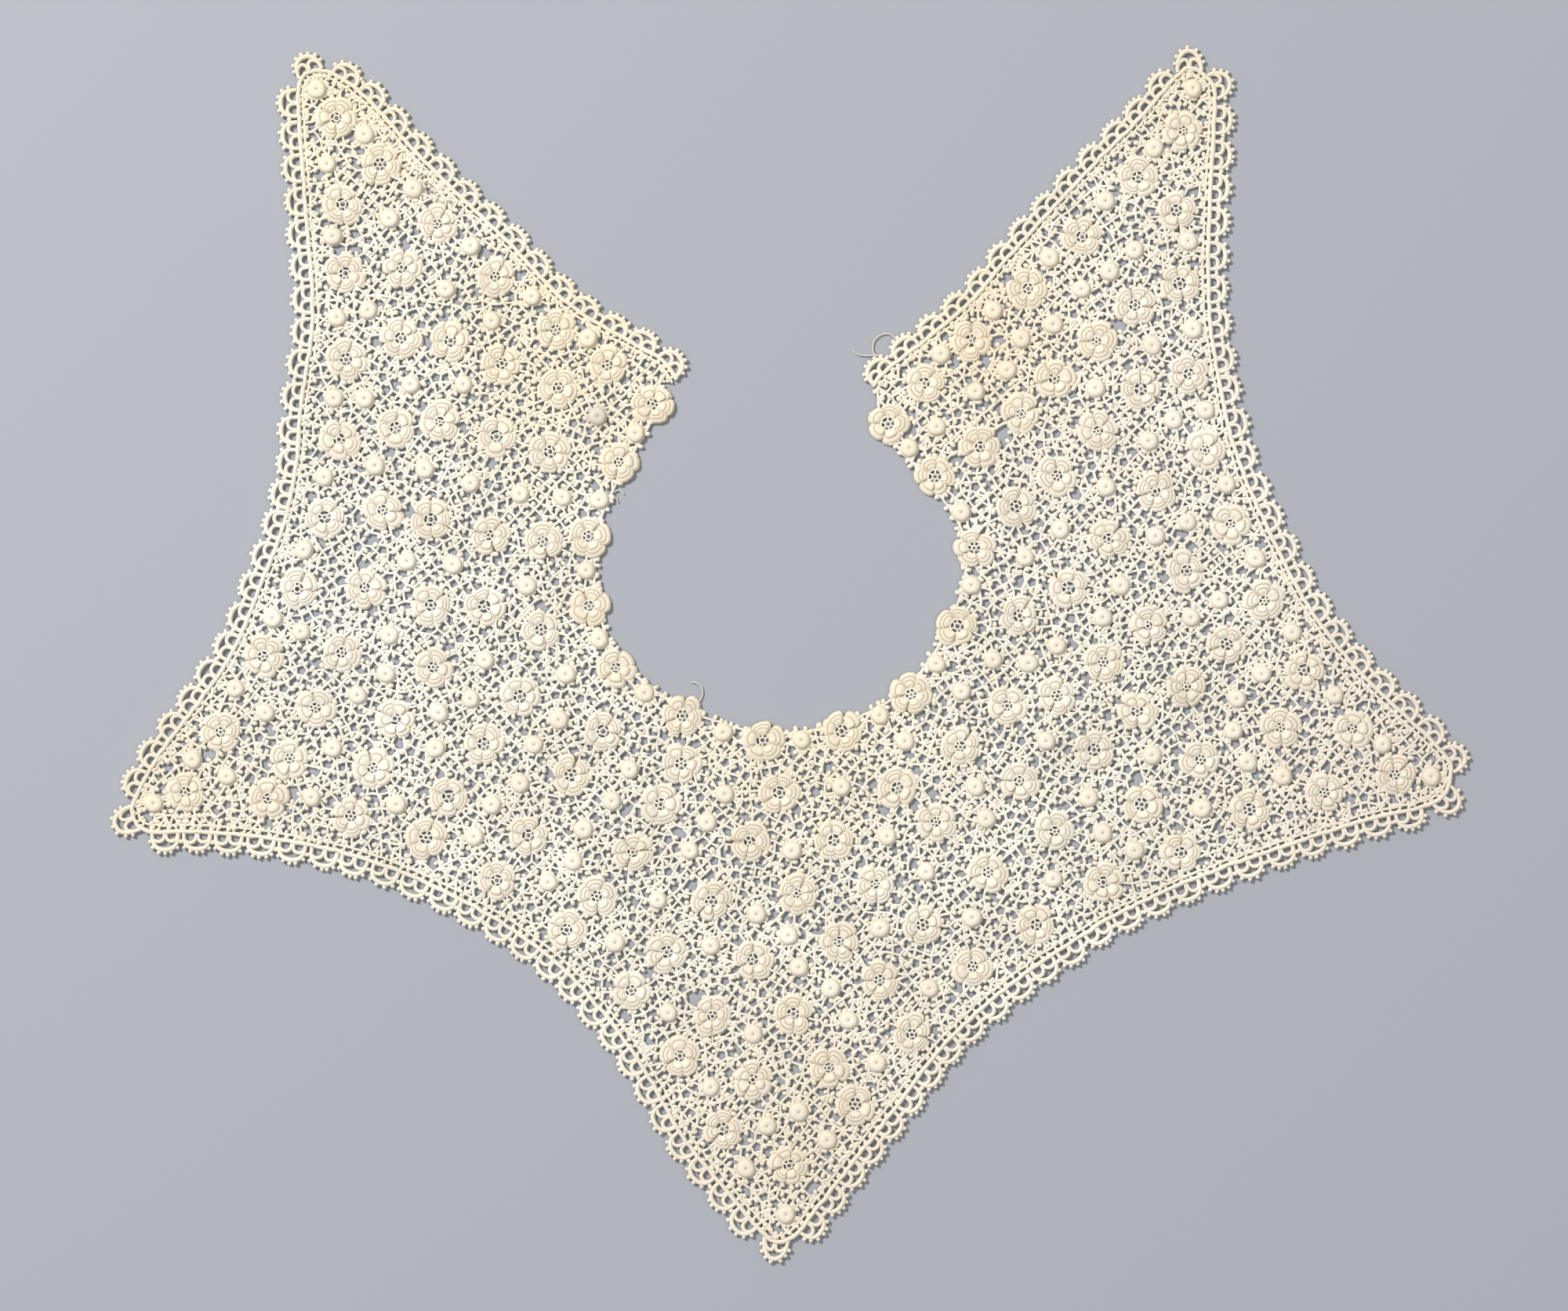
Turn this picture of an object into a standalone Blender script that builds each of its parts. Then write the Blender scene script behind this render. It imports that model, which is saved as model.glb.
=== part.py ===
"""An Irish crochet collar laid flat, as the solids of its two worked pieces.

The ground is one openwork wall that carries raised roses and padded buttons. The edging is a braid with
scallops, worked round the outer edge from one neck corner to the other. The collar lies face up on Z = 0,
with its front point towards -Y and its open back towards +Y. The pattern is drawn in millimetres from the
middle of the neck, and both pieces are then moved so that the middle of the collar's box stands over the
origin.
"""

import math
from collections import namedtuple

import bmesh
import bpy
import numpy as np
from mathutils.geometry import delaunay_2d_cdt

MM = 0.001

# Driving sizes, in millimetres
GROUND_THICK = 1.4
EDGING_THICK = 1.6
SEAM = 0.3

ROSE_RADIUS = 9.2
ROSE_PETALS = 5
ROSE_NOTCH = 0.86  # radius between two petals, as a share of the rose's
ROSE_CROWN = 0.54  # radius of the inner petals, the same way
ROSE_TOP = 3.4
ROSE_EYE = 2.2  # height of the sunk middle

BUTTON_RADIUS = 4.2
BUTTON_SIDES = 7
BUTTON_TOP = 3.6

MOTIF_SPACE = 0.7  # least ground between two motifs, or a motif and the ground's edge
NECK_NET = 5.0  # how far the ground reaches past the middle of the neck's roses
NECK_STEP = 3.4
NECK_END = 6.0  # ground past the first and last rose of the neck

BRAID_WIDTH = 2.7
BRAID_STEP = 11.0
SCALLOP_HALF_WIDTH = 6.6
SCALLOP_SIDES = 5
SCALLOP_FULLNESS = 0.7  # 1 for half an ellipse, and less for a squarer rim

# A scallop's crescent gap, as its lower and upper half widths and its distances from the scallop's foot
GAP_LOWER = (4.3, 3.3)
GAP_UPPER = (2.7, 6.0)

GAP_RADIUS = 2.35
GAP_SPACE = 0.55  # least ground round a gap
GAP_CORNERS = 4
GROUND_GAPS = 168
GRID_STEP = 1.5  # spacing of the places tried for buttons and gaps

LINE_STEPS = 24  # steps of a smooth line between two of its points

# The line where the scallops start, from the left neck corner round to the right one. Each run goes on from
# the last point of the run before it.
EdgeRun = namedtuple("EdgeRun", "name scallops depth through")
EDGE_RUNS = (
    EdgeRun("left back, inner edge", 14, 7.8, (
        (-45, 79), (-52, 88), (-70, 98), (-93, 113), (-116, 137), (-136, 156), (-158, 178), (-177, 199),
        (-193, 210),
    )),
    EdgeRun("left back point", 1, 8.0, ((-203, 209.5), (-207, 203))),
    EdgeRun("left side", 23, 8.8, (
        (-207, 192), (-204, 150), (-201, 105), (-206, 68), (-208, 42), (-214, 15), (-223, -8), (-234, -35),
        (-250, -59), (-265, -79), (-276, -100),
    )),
    EdgeRun("left shoulder point", 1, 10.8, ((-276, -108), (-270, -113))),
    EdgeRun("left hem", 24, 10.2, (
        (-250, -113), (-220, -115.5), (-183, -123), (-150, -135.5), (-120, -151.5), (-95, -170), (-73, -194),
        (-56, -219), (-43, -242), (-27, -262), (-10, -282),
    )),
    EdgeRun("front point", 1, 10.0, ((-3, -287.5), (5, -284))),
    EdgeRun("right hem, lower", 13, 10.3, (
        (13, -274), (30, -252), (48, -229), (66, -205.5), (86, -186), (109, -168.5), (126, -158),
    )),
    EdgeRun("right hem, upper", 11, 9.2, (
        (140, -149.5), (173, -134.5), (207, -122), (247, -109), (272, -103),
    )),
    EdgeRun("right shoulder point", 1, 9.8, ((281, -98), (284, -90))),
    EdgeRun("right side", 22, 8.6, (
        (283, -83), (272, -71), (247, -47), (231, -28), (218, -8), (202, 25), (192, 50), (186, 77),
        (182, 103), (181, 132), (183, 177), (184, 196),
    )),
    EdgeRun("right back point", 2, 8.6, ((182.5, 205), (174, 211.5), (166, 208))),
    EdgeRun("right back, inner edge", 13, 7.8, (
        (152, 191.5), (135, 174.5), (116, 154.5), (96, 132.5), (78, 111.5), (60, 96.5), (43, 83), (37, 76),
    )),
)

# Rows of roses, evenly spaced from point to point of a smooth line. A row with a button shift has a button
# between each two roses, moved that far to the left of the row's way.
RoseRow = namedtuple("RoseRow", "name roses button_shift through")
NECK_ROW = RoseRow("neck", 13, 0, ((-56, 68), (-83, 12), (-71, -44), (-9, -75), (54, -55), (81, 7), (44, 60)))
ROSE_ROWS = (
    NECK_ROW,
    RoseRow("left back edge", 6, 3, ((-189, 189), (-135, 133), (-76, 86))),
    RoseRow("left outer", 9, -4, ((-188, 152), (-186, 87), (-195, 20), (-221, -39), (-254, -96))),
    RoseRow("left second", 9, None, ((-162, 126), (-165, 58), (-178, -10), (-199, -61), (-219, -99))),
    RoseRow("left third, back", 5, None, ((-142, 95), (-150, 19), (-149, -44))),
    RoseRow("left third, shoulder", 3, None, ((-165, -66), (-184, -107))),
    RoseRow("left fourth, back", 4, None, ((-120, 85), (-127, -18))),
    RoseRow("left fourth, shoulder", 4, None, ((-112, -56), (-136, -88), (-152, -116))),
    RoseRow("left fifth, back", 4, None, ((-96, 75), (-101, 30), (-103, -28))),
    RoseRow("left fifth, hem", 4, None, ((-77, -71), (-122, -134))),
    RoseRow("front first", 5, None, ((-44, -85), (-64, -122), (-93, -156))),
    RoseRow("front second", 5, None, ((-2, -97), (-31, -143), (-65, -181))),
    RoseRow("front third", 5, None, ((21, -117), (-13, -168), (-44, -209))),
    RoseRow("front fourth", 5, None, ((39, -136), (4, -191), (-26, -240))),
    RoseRow("front fifth", 4, None, ((59, -153), (30, -193), (2, -255))),
    RoseRow("front sixth", 3, None, ((80, -171), (30, -229))),
    RoseRow("front, along the right", 4, None, ((48, -95), (75, -119), (107, -153))),
    RoseRow("right back edge", 6, -3, ((168, 183), (115, 128), (61, 79))),
    RoseRow("right outer", 9, 4, ((167, 150), (172, 81), (190, 17), (221, -45), (259, -88))),
    RoseRow("right second", 7, None, ((149, 110), (158, 31), (188, -34), (230, -97))),
    RoseRow("right third, back", 5, None, ((133, 95), (138, 11), (171, -52))),
    RoseRow("right third, hem", 2, None, ((177, -83), (198, -104))),
    RoseRow("right fourth, back", 5, None, ((115, 79), (121, -10), (150, -62))),
    RoseRow("right fourth, hem", 2, None, ((152, -102), (169, -123))),
    RoseRow("right fifth, back", 5, None, ((101, 64), (100, -22), (132, -79))),
    RoseRow("right fifth, hem", 2, None, ((115, -113), (136, -135))),
    RoseRow("right neck, upper", 1, None, ((83, 50),)),
    RoseRow("right neck, lower", 2, None, ((95, -60), (100, -92))),
    RoseRow("right neck, front", 1, None, ((75, -77),)),
)

# Buttons that stand alone, in the points of the collar
POINT_BUTTONS = ((-199, 204), (174, 203), (-269, -101), (275, -90), (1, -276), (-194, 170))
MOST_BUTTONS = 150

COTTON = (0.86, 0.82, 0.72, 1.0)
COTTON_ROUGHNESS = 0.9


def clear_scene():
    for thing in list(bpy.data.objects):
        bpy.data.objects.remove(thing, do_unlink=True)


def cotton(name, shade):
    material = bpy.data.materials.new(name)
    material.use_nodes = True
    shader = material.node_tree.nodes["Principled BSDF"]
    shader.inputs["Base Color"].default_value = [c * shade for c in COTTON[:3]] + [1.0]
    shader.inputs["Roughness"].default_value = COTTON_ROUGHNESS
    shader.inputs["Metallic"].default_value = 0.0
    return material


# Lines, as arrays with a row for each point


def smooth_line(points):
    """A smooth line through the points, in small steps."""
    knots = np.array([points[0], *points, points[-1]], float)
    t = np.linspace(0, 1, LINE_STEPS, endpoint=False)[:, None]
    spans = []
    for a, b, c, d in zip(knots, knots[1:], knots[2:], knots[3:]):
        spans.append(b + 0.5 * t * (c - a + t * (2 * a - 5 * b + 4 * c - d + t * (3 * (b - c) + d - a))))
    return np.vstack([*spans, knots[-1:]])


def distances_along(line):
    return np.concatenate([[0], np.cumsum(np.linalg.norm(np.diff(line, axis=0), axis=1))])


def at_distances(line, values, marks):
    """The values that belong to a line's points, read at distances along it."""
    along = distances_along(line)
    return np.column_stack([np.interp(marks, along, column) for column in values.T])


def spaced(line, count):
    """Points at even distances along a line, with both its ends."""
    return at_distances(line, line, np.linspace(0, distances_along(line)[-1], count))


def left_of(line):
    """Unit vectors to the left of a line's way, one for each point."""
    way = np.gradient(line, axis=0)
    way /= np.linalg.norm(way, axis=1)[:, None]
    return np.column_stack([-way[:, 1], way[:, 0]])


def depth_inside(places, outline):
    """How far each place lies inside a closed outline, and below 0 outside it."""
    nearest = np.full(len(places), np.inf)
    inside = np.zeros(len(places), bool)
    for a, b in zip(outline, np.roll(outline, -1, axis=0)):
        side = b - a
        share = np.clip((places - a) @ side / max(side @ side, 1e-12), 0, 1)
        nearest = np.minimum(nearest, np.linalg.norm(places - a - share[:, None] * side, axis=1))
        between = (a[1] > places[:, 1]) != (b[1] > places[:, 1])
        if side[1]:
            inside ^= between & (places[:, 0] < a[0] + (places[:, 1] - a[1]) * side[0] / side[1])
    return np.where(inside, nearest, -nearest)


def spaced_by_points(through, count):
    """Places along a smooth line, even from point to point of those it goes through."""
    line = smooth_line(through)
    steps = np.arange(len(line))[:, None]
    return line, at_distances(steps, line, np.linspace(0, len(line) - 1, count))


# The collar's pattern


def scallop_line():
    """The line that the scallops stand on, its outward directions, and their middles, widths and depths."""
    line = smooth_line([point for run in EDGE_RUNS for point in run.through])
    along = distances_along(line)
    scallops = []
    start = 0
    knot = -1
    for run in EDGE_RUNS:
        knot += len(run.through)
        end = along[knot * LINE_STEPS]
        width = (end - start) / run.scallops
        scallops += [(start + (k + 0.5) * width, width, run.depth) for k in range(run.scallops)]
        start = end
    return line, -left_of(line), scallops


def side_by_side(edge, outwards, inset):
    """The points of the line that lies this far inside the edge."""
    length = distances_along(edge)[-1]
    marks = np.linspace(0, length, round(length / BRAID_STEP))
    return at_distances(edge, edge - inset * outwards, marks)


def motifs_of_rows():
    """The middles of the roses, and of the buttons that stand between them."""
    roses = []
    buttons = []
    for row in ROSE_ROWS:
        roses.append(spaced_by_points(row.through, row.roses)[1])
        if row.button_shift is not None:
            line, places = spaced_by_points(row.through, 2 * row.roses - 1)
            steps = np.arange(len(line))[:, None]
            aside = at_distances(steps, left_of(line), np.linspace(0, len(line) - 1, len(places)))
            buttons.append((places + row.button_shift * aside)[1::2])
    return np.vstack(roses), np.vstack([*buttons, POINT_BUTTONS])


def neck_edge(roses, buttons):
    """The ground's edge at the neck, left to right: the net, or the motif that reaches past it."""
    line = smooth_line(NECK_ROW.through)
    ends = [line[0] - line[1], line[-1] - line[-2]]
    first, last = (end / np.linalg.norm(end) * NECK_END for end in ends)
    line = np.vstack([line[0] + first, line, line[-1] + last])
    line = spaced(line, round(distances_along(line)[-1] / NECK_STEP))
    inwards = left_of(line)
    reach = np.full(len(line), NECK_NET)
    for middles, radius in ((roses, ROSE_RADIUS + MOTIF_SPACE), (buttons, BUTTON_RADIUS + MOTIF_SPACE)):
        for middle in middles:
            off = middle - line
            ahead = (off * inwards).sum(axis=1)
            aside = (off * off).sum(axis=1) - ahead**2
            touches = (aside < radius**2) & (np.abs(ahead) < radius + NECK_NET)
            far = ahead + np.sqrt(np.maximum(radius**2 - aside, 0))
            reach = np.where(touches, np.maximum(reach, far), reach)
    return line + reach[:, None] * inwards


def ground_outline(edge, outwards, roses, buttons):
    outer_side = side_by_side(edge, outwards, BRAID_WIDTH + SEAM)
    return np.vstack([outer_side, neck_edge(roses, buttons)[::-1]])


def spread_out(roses, buttons, outline, fixed):
    """Motifs that stand too close to each other, or to the edge, moved apart. The first roses are fixed."""
    places = np.vstack([roses, buttons])
    radius = np.repeat([ROSE_RADIUS, BUTTON_RADIUS], [len(roses), len(buttons)])
    free = np.arange(len(places)) >= fixed
    for _ in range(60):
        step = np.zeros_like(places)
        off = places[:, None] - places[None]
        apart = np.linalg.norm(off, axis=2) + np.eye(len(places)) * 1e6
        short = np.maximum(radius[:, None] + radius[None] + MOTIF_SPACE - apart, 0)
        step += (off / apart[..., None] * short[..., None] * 0.5).sum(axis=1)
        depth = depth_inside(places, outline)
        shallow = np.maximum(radius + MOTIF_SPACE - depth, 0)
        for k, way in enumerate(np.eye(2)):
            ahead, behind = (depth_inside(places + off * way, outline) for off in (0.2, -0.2))
            step[:, k] += (ahead - behind) / 0.4 * shallow
        places[free] += step[free]
    return places[: len(roses)], places[len(roses):]


def widest_spaces(outline, circles, radius, space, most):
    """Places for circles of one radius, the widest space first. circles are those already there."""
    low, high = outline.min(axis=0), outline.max(axis=0)
    steps = [np.arange(low[k], high[k], GRID_STEP) for k in (0, 1)]
    grid = np.stack(np.meshgrid(*steps), axis=-1).reshape(-1, 2)
    room = depth_inside(grid, outline)
    grid, room = grid[room > radius], room[room > radius]
    for middles, taken in circles:
        for middle in middles:
            room = np.minimum(room, np.linalg.norm(grid - middle, axis=1) - taken)
    found = []
    while len(found) < most and room.max() >= radius + space:
        best = grid[room.argmax()]
        found.append(best)
        room = np.minimum(room, np.linalg.norm(grid - best, axis=1) - radius - space)
    return np.array(found)


# The solids


def ring(middle, radius, count, turn=0.0):
    angles = turn + np.arange(count) * 2 * math.pi / count
    return middle + np.column_stack([np.cos(angles), np.sin(angles)]) * np.reshape(radius, (-1, 1))


def rose_relief(middle, turn):
    """A rose's closed rings, each with its height, from its rim to its eye."""
    rim = np.where(np.arange(2 * ROSE_PETALS) % 2, ROSE_NOTCH, 1.0) * ROSE_RADIUS
    return (
        (ring(middle, rim, 2 * ROSE_PETALS, turn), GROUND_THICK),
        (ring(middle, ROSE_CROWN * ROSE_RADIUS, ROSE_PETALS, turn), ROSE_TOP),
        (middle[None], ROSE_EYE),
    )


def button_relief(middle, turn):
    return (
        (ring(middle, BUTTON_RADIUS, BUTTON_SIDES, turn), GROUND_THICK),
        (middle[None], BUTTON_TOP),
    )


def filled(loops, rings):
    """Triangles over the first loop, outside the others and along every ring, as numbers of their points."""
    edges, faces = [], []
    start = 0
    for number, loop in enumerate([*loops, *rings]):
        ids = list(range(start, start + len(loop)))
        start += len(loop)
        if number < len(loops):
            faces.append(ids)
        elif len(ids) > 1:
            edges += zip(ids, ids[1:] + ids[:1])
    points = np.vstack([*loops, *rings]).tolist()
    _, _, triangles, origins, _, covers = delaunay_2d_cdt(points, edges, faces, 0, 1e-5)
    return [[origins[i][0] for i in face] for face, cover in zip(triangles, covers) if list(cover) == [0]]


def worked_piece(name, loops, relief, thick, shift, material):
    """A wall with a flat underside, cut through inside all loops but the first, and raised at the rings."""
    rings = [raised for raised, _ in relief]
    heights = [height for raised, height in relief for _ in raised]
    around = (np.vstack(loops) - shift) * MM
    inside = (np.vstack([*rings, shift]) - shift)[:-1] * MM
    mesh = bmesh.new()
    under = [mesh.verts.new((x, y, 0)) for x, y in around]
    face = [mesh.verts.new((x, y, thick * MM)) for x, y in around]
    face += [mesh.verts.new((x, y, height * MM)) for (x, y), height in zip(inside, heights)]
    for triangle in filled(loops, rings):
        mesh.faces.new([face[i] for i in triangle])
    for triangle in filled(loops, []):
        mesh.faces.new([under[i] for i in reversed(triangle)])
    start = 0
    for loop in loops:
        ids = np.arange(start, start + len(loop))
        start += len(loop)
        for a, b in zip(ids, np.roll(ids, -1)):
            mesh.faces.new([under[a], under[b], face[b], face[a]])
    bmesh.ops.recalc_face_normals(mesh, faces=mesh.faces)
    data = bpy.data.meshes.new(name)
    mesh.to_mesh(data)
    mesh.free()
    data.materials.append(material)
    return bpy.data.objects.new(name, data)


def ground(outline, gaps, roses, buttons, shift):
    draw = np.random.default_rng(7)
    relief = []
    for rose in roses:
        relief += rose_relief(rose, draw.uniform(0, math.pi))
    for button in buttons:
        relief += button_relief(button, draw.uniform(0, math.pi))
    holes = [ring(gap, GAP_RADIUS, GAP_CORNERS, draw.uniform(0, math.pi)) for gap in gaps]
    material = cotton("ground_cotton", 0.97)
    return worked_piece("ground", [outline, *holes], relief, GROUND_THICK, shift, material)


def scallop_outlines(edge, outwards, scallops):
    """Each scallop's rim and its crescent gap, left to right along the edge."""
    arc = np.linspace(0, math.pi, SCALLOP_SIDES + 1)
    full = np.column_stack([-np.cos(arc), np.sin(arc)])
    full = np.sign(full) * np.abs(full) ** SCALLOP_FULLNESS
    (low, near), (high, far) = GAP_LOWER, GAP_UPPER
    crescent = np.array([(-low, near), (-high, far), (high, far), (low, near)])
    rims, gaps = [], []
    for middle, width, depth in scallops:
        facing = at_distances(edge, outwards, middle + np.linspace(-4, 4, 9)).mean(axis=0)
        facing /= np.linalg.norm(facing)
        half = min(SCALLOP_HALF_WIDTH, width / 2 - SEAM)
        for shape, kept in ((full * (half, depth), rims), (crescent, gaps)):
            kept.append(at_distances(edge, edge, middle + shape[:, 0]) + shape[:, 1:] * facing)
    return rims, gaps


def edging(edge, outwards, rims, gaps, shift):
    inner = side_by_side(edge, outwards, BRAID_WIDTH)
    outline = np.vstack([*rims, inner[::-1]])
    material = cotton("edging_cotton", 1.0)
    return worked_piece("edging", [outline, *gaps], [], EDGING_THICK, shift, material)


def main():
    clear_scene()
    edge, outwards, scallops = scallop_line()
    rims, crescents = scallop_outlines(edge, outwards, scallops)
    roses, buttons = motifs_of_rows()
    outline = ground_outline(edge, outwards, roses, buttons)
    roses, buttons = spread_out(roses, buttons, outline, NECK_ROW.roses)
    taken = ((roses, ROSE_RADIUS), (buttons, BUTTON_RADIUS))
    more = widest_spaces(outline, taken, BUTTON_RADIUS, MOTIF_SPACE, MOST_BUTTONS - len(buttons))
    buttons = np.vstack([buttons, more])
    taken = ((roses, ROSE_RADIUS), (buttons, BUTTON_RADIUS))
    gaps = widest_spaces(outline, taken, GAP_RADIUS, GAP_SPACE, GROUND_GAPS)

    around = np.vstack(rims)
    shift = (around.min(axis=0) + around.max(axis=0)) / 2
    collar = bpy.data.collections.new("lace_collar")
    bpy.context.scene.collection.children.link(collar)
    collar.objects.link(ground(outline, gaps, roses, buttons, shift))
    collar.objects.link(edging(edge, outwards, rims, crescents, shift))


main()
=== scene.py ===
"""The lace collar's looks: crochet net with picots, padded roses and buttons, and a braid with scallops.

The pattern is in millimetres from the middle of the neck. Its meshes are made in the frame.
"""

import math
from collections import namedtuple

import bpy
import numpy as np
from mathutils.geometry import delaunay_2d_cdt
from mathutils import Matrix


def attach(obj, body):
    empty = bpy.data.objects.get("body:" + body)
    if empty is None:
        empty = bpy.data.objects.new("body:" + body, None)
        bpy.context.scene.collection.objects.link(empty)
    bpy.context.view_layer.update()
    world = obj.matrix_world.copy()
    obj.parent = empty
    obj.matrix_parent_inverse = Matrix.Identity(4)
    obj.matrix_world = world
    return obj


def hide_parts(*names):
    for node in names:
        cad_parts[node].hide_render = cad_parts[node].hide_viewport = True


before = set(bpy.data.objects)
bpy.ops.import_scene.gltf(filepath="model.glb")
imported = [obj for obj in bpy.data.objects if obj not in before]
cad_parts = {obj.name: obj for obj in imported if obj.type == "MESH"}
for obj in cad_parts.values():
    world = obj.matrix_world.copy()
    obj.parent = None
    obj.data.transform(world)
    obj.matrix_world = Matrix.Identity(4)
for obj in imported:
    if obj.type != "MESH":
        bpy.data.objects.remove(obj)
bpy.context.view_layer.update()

MM = 0.001
DRAW = np.random.default_rng(11)
WHOLE_TURN = 2 * math.pi
MOST_TURN = 6.28  # directions are drawn from 0 to this

# The solids' own values. Sizes are in millimetres.
SEAM = 0.3
ROSE_RADIUS = 9.2
BUTTON_RADIUS = 4.2
MOTIF_SPACE = 0.7  # least ground between two motifs, or a motif and the ground's edge
NECK_NET = 5.0  # how far the ground reaches past the middles of the neck's roses
NECK_STEP = 3.4
NECK_END = 6.0  # ground past the first and last rose of the neck
BRAID_WIDTH = 2.7
BRAID_STEP = 11.0
SCALLOP_HALF_WIDTH = 6.6
SCALLOP_SIDES = 5
SCALLOP_FULLNESS = 0.7  # 1 for half an ellipse, and less for a squarer rim
GAP_RADIUS = 2.35
GAP_SPACE = 0.55  # least ground round a gap
GROUND_GAPS = 168
GRID_STEP = 1.5  # spacing of the places tried for buttons and gaps
MOST_BUTTONS = 150
LINE_STEPS = 24  # steps of a smooth line between two of its points
SPREAD_ROUNDS = 60
SLOPE_STEP = 0.2

# The net, in millimetres
THREAD = 0.61  # a strand's radius
KNOT_SPACE = 3.9
KNOT_JITTER = 0.3
KNOT_APART = 2.6  # least distance from a free knot to the fixed ones
INSIDE_EDGE = 1.3  # how far inside the ground's outline the free knots start
ROSE_CLEAR = 1.2  # and how far outside the motifs' rims
BUTTON_CLEAR = 1.3
LEAST_COSINE = 0.15  # so that no strand cuts a square in two
WIDEST_EMPTY = 3.0  # radius of the widest space with no knot in it
OVER_RIM = 1.6  # how far it may reach over a motif's rim
OVER_GAP = 0.6
GAP_KNOTS = 5
GAP_KNOT_RADIUS = 2.75
GAP_KNOT_APART = 2.0
GAP_OPEN = 1.5  # least distance from a gap's middle to the middle of a strand
ROSE_KNOTS = 13
ROSE_HOLD = 2.3  # how far inside a rose's rim the net is worked on it
BUTTON_KNOTS = 6
BUTTON_HOLD = 0.7
BRAID_KNOT_SPACE = 4.3
NECK_KNOT_SPACE = 3.4
FREE, ON_BRAID, ON_NECK = -1, 10000, 20000  # owners of knots, besides the motifs' numbers
SHORTEST_STRAND = 0.8
LONGEST_STRAND = 5.9
LONGEST_FROM_MOTIF = 8.6
LONGEST_STRAIGHT = 4.0  # a longer strand is bent in its middle
PAST_KNOT = 0.25  # how far a strand runs past its knots
NECK_CORD = 3.3  # how far the chain at the neck lies past the middles of its roses
NECK_CORD_RADIUS = 0.56
STITCH = 0.95  # from one stitch to the next along a cord
THREAD_END_HEIGHT = 0.62
THREAD_END_RADIUS = 0.27

# The picots, in millimetres. Their sizes are length, half width and half height.
PICOT_APART = 2.4
PICOT_SIZES = ((2.3, 0.95, 0.64), (3.1, 1.2, 0.84))
PICOT_MIDDLE = 1.4  # from a picot's root to about its middle
PICOT_CLEAR = 1.6  # least distance from there to a gap's middle
ONE_PICOT = 3.2  # a shorter strand has picots at one place, and a longer one at two

# The edging's cords, in millimetres
BRAID_INNER = 2.9  # how far the inner cord lies from the line where the scallops start
SHALLOW = 8.8  # the depth up to which a scallop stands on the line
MOST_RISE = 1.4  # the most that the braid swells outwards under the deeper ones
ARC_RADIUS = 0.95  # half the width of a scallop's outer arc
PICOT_PROUD = 1.25  # how far a scallop's picots stand out past its arc
ARCH_SHARE = 0.42  # an inner arch's height, as a share of its scallop's depth
BRAID_CORDS = ((0.8, 1.0, 1.0, 1.0), (BRAID_INNER, 0.5, 0.85, 0.62))  # inset, share of rise, height, radius
CROSS_SPACE = 3.6  # between the short cords that cross the braid
CROSS_RADIUS = 0.62
CORD_STEP = 2.6

# The camera's view and its middle in the pattern, and the floor, in millimetres
VIEW_WIDTH = 666.7
VIEW_MIDDLE = (0.0, -38.67)
CAMERA_HEIGHT = 1700.0
SENSOR_WIDTH = 36
FLOOR_HEIGHT = -0.3

EdgeRun = namedtuple("EdgeRun", "name scallops depth through")
EDGE_RUNS = (
    EdgeRun("left back, inner edge", 14, 7.8, (
        (-45, 79), (-52, 88), (-70, 98), (-93, 113), (-116, 137), (-136, 156), (-158, 178), (-177, 199),
        (-193, 210),
    )),
    EdgeRun("left back point", 1, 8.0, ((-203, 209.5), (-207, 203))),
    EdgeRun("left side", 23, 8.8, (
        (-207, 192), (-204, 150), (-201, 105), (-206, 68), (-208, 42), (-214, 15), (-223, -8), (-234, -35),
        (-250, -59), (-265, -79), (-276, -100),
    )),
    EdgeRun("left shoulder point", 1, 10.8, ((-276, -108), (-270, -113))),
    EdgeRun("left hem", 24, 10.2, (
        (-250, -113), (-220, -115.5), (-183, -123), (-150, -135.5), (-120, -151.5), (-95, -170), (-73, -194),
        (-56, -219), (-43, -242), (-27, -262), (-10, -282),
    )),
    EdgeRun("front point", 1, 10.0, ((-3, -287.5), (5, -284))),
    EdgeRun("right hem, lower", 13, 10.3, (
        (13, -274), (30, -252), (48, -229), (66, -205.5), (86, -186), (109, -168.5), (126, -158),
    )),
    EdgeRun("right hem, upper", 11, 9.2, (
        (140, -149.5), (173, -134.5), (207, -122), (247, -109), (272, -103),
    )),
    EdgeRun("right shoulder point", 1, 9.8, ((281, -98), (284, -90))),
    EdgeRun("right side", 22, 8.6, (
        (283, -83), (272, -71), (247, -47), (231, -28), (218, -8), (202, 25), (192, 50), (186, 77),
        (182, 103), (181, 132), (183, 177), (184, 196),
    )),
    EdgeRun("right back point", 2, 8.6, ((182.5, 205), (174, 211.5), (166, 208))),
    EdgeRun("right back, inner edge", 13, 7.8, (
        (152, 191.5), (135, 174.5), (116, 154.5), (96, 132.5), (78, 111.5), (60, 96.5), (43, 83), (37, 76),
    )),
)

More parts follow.
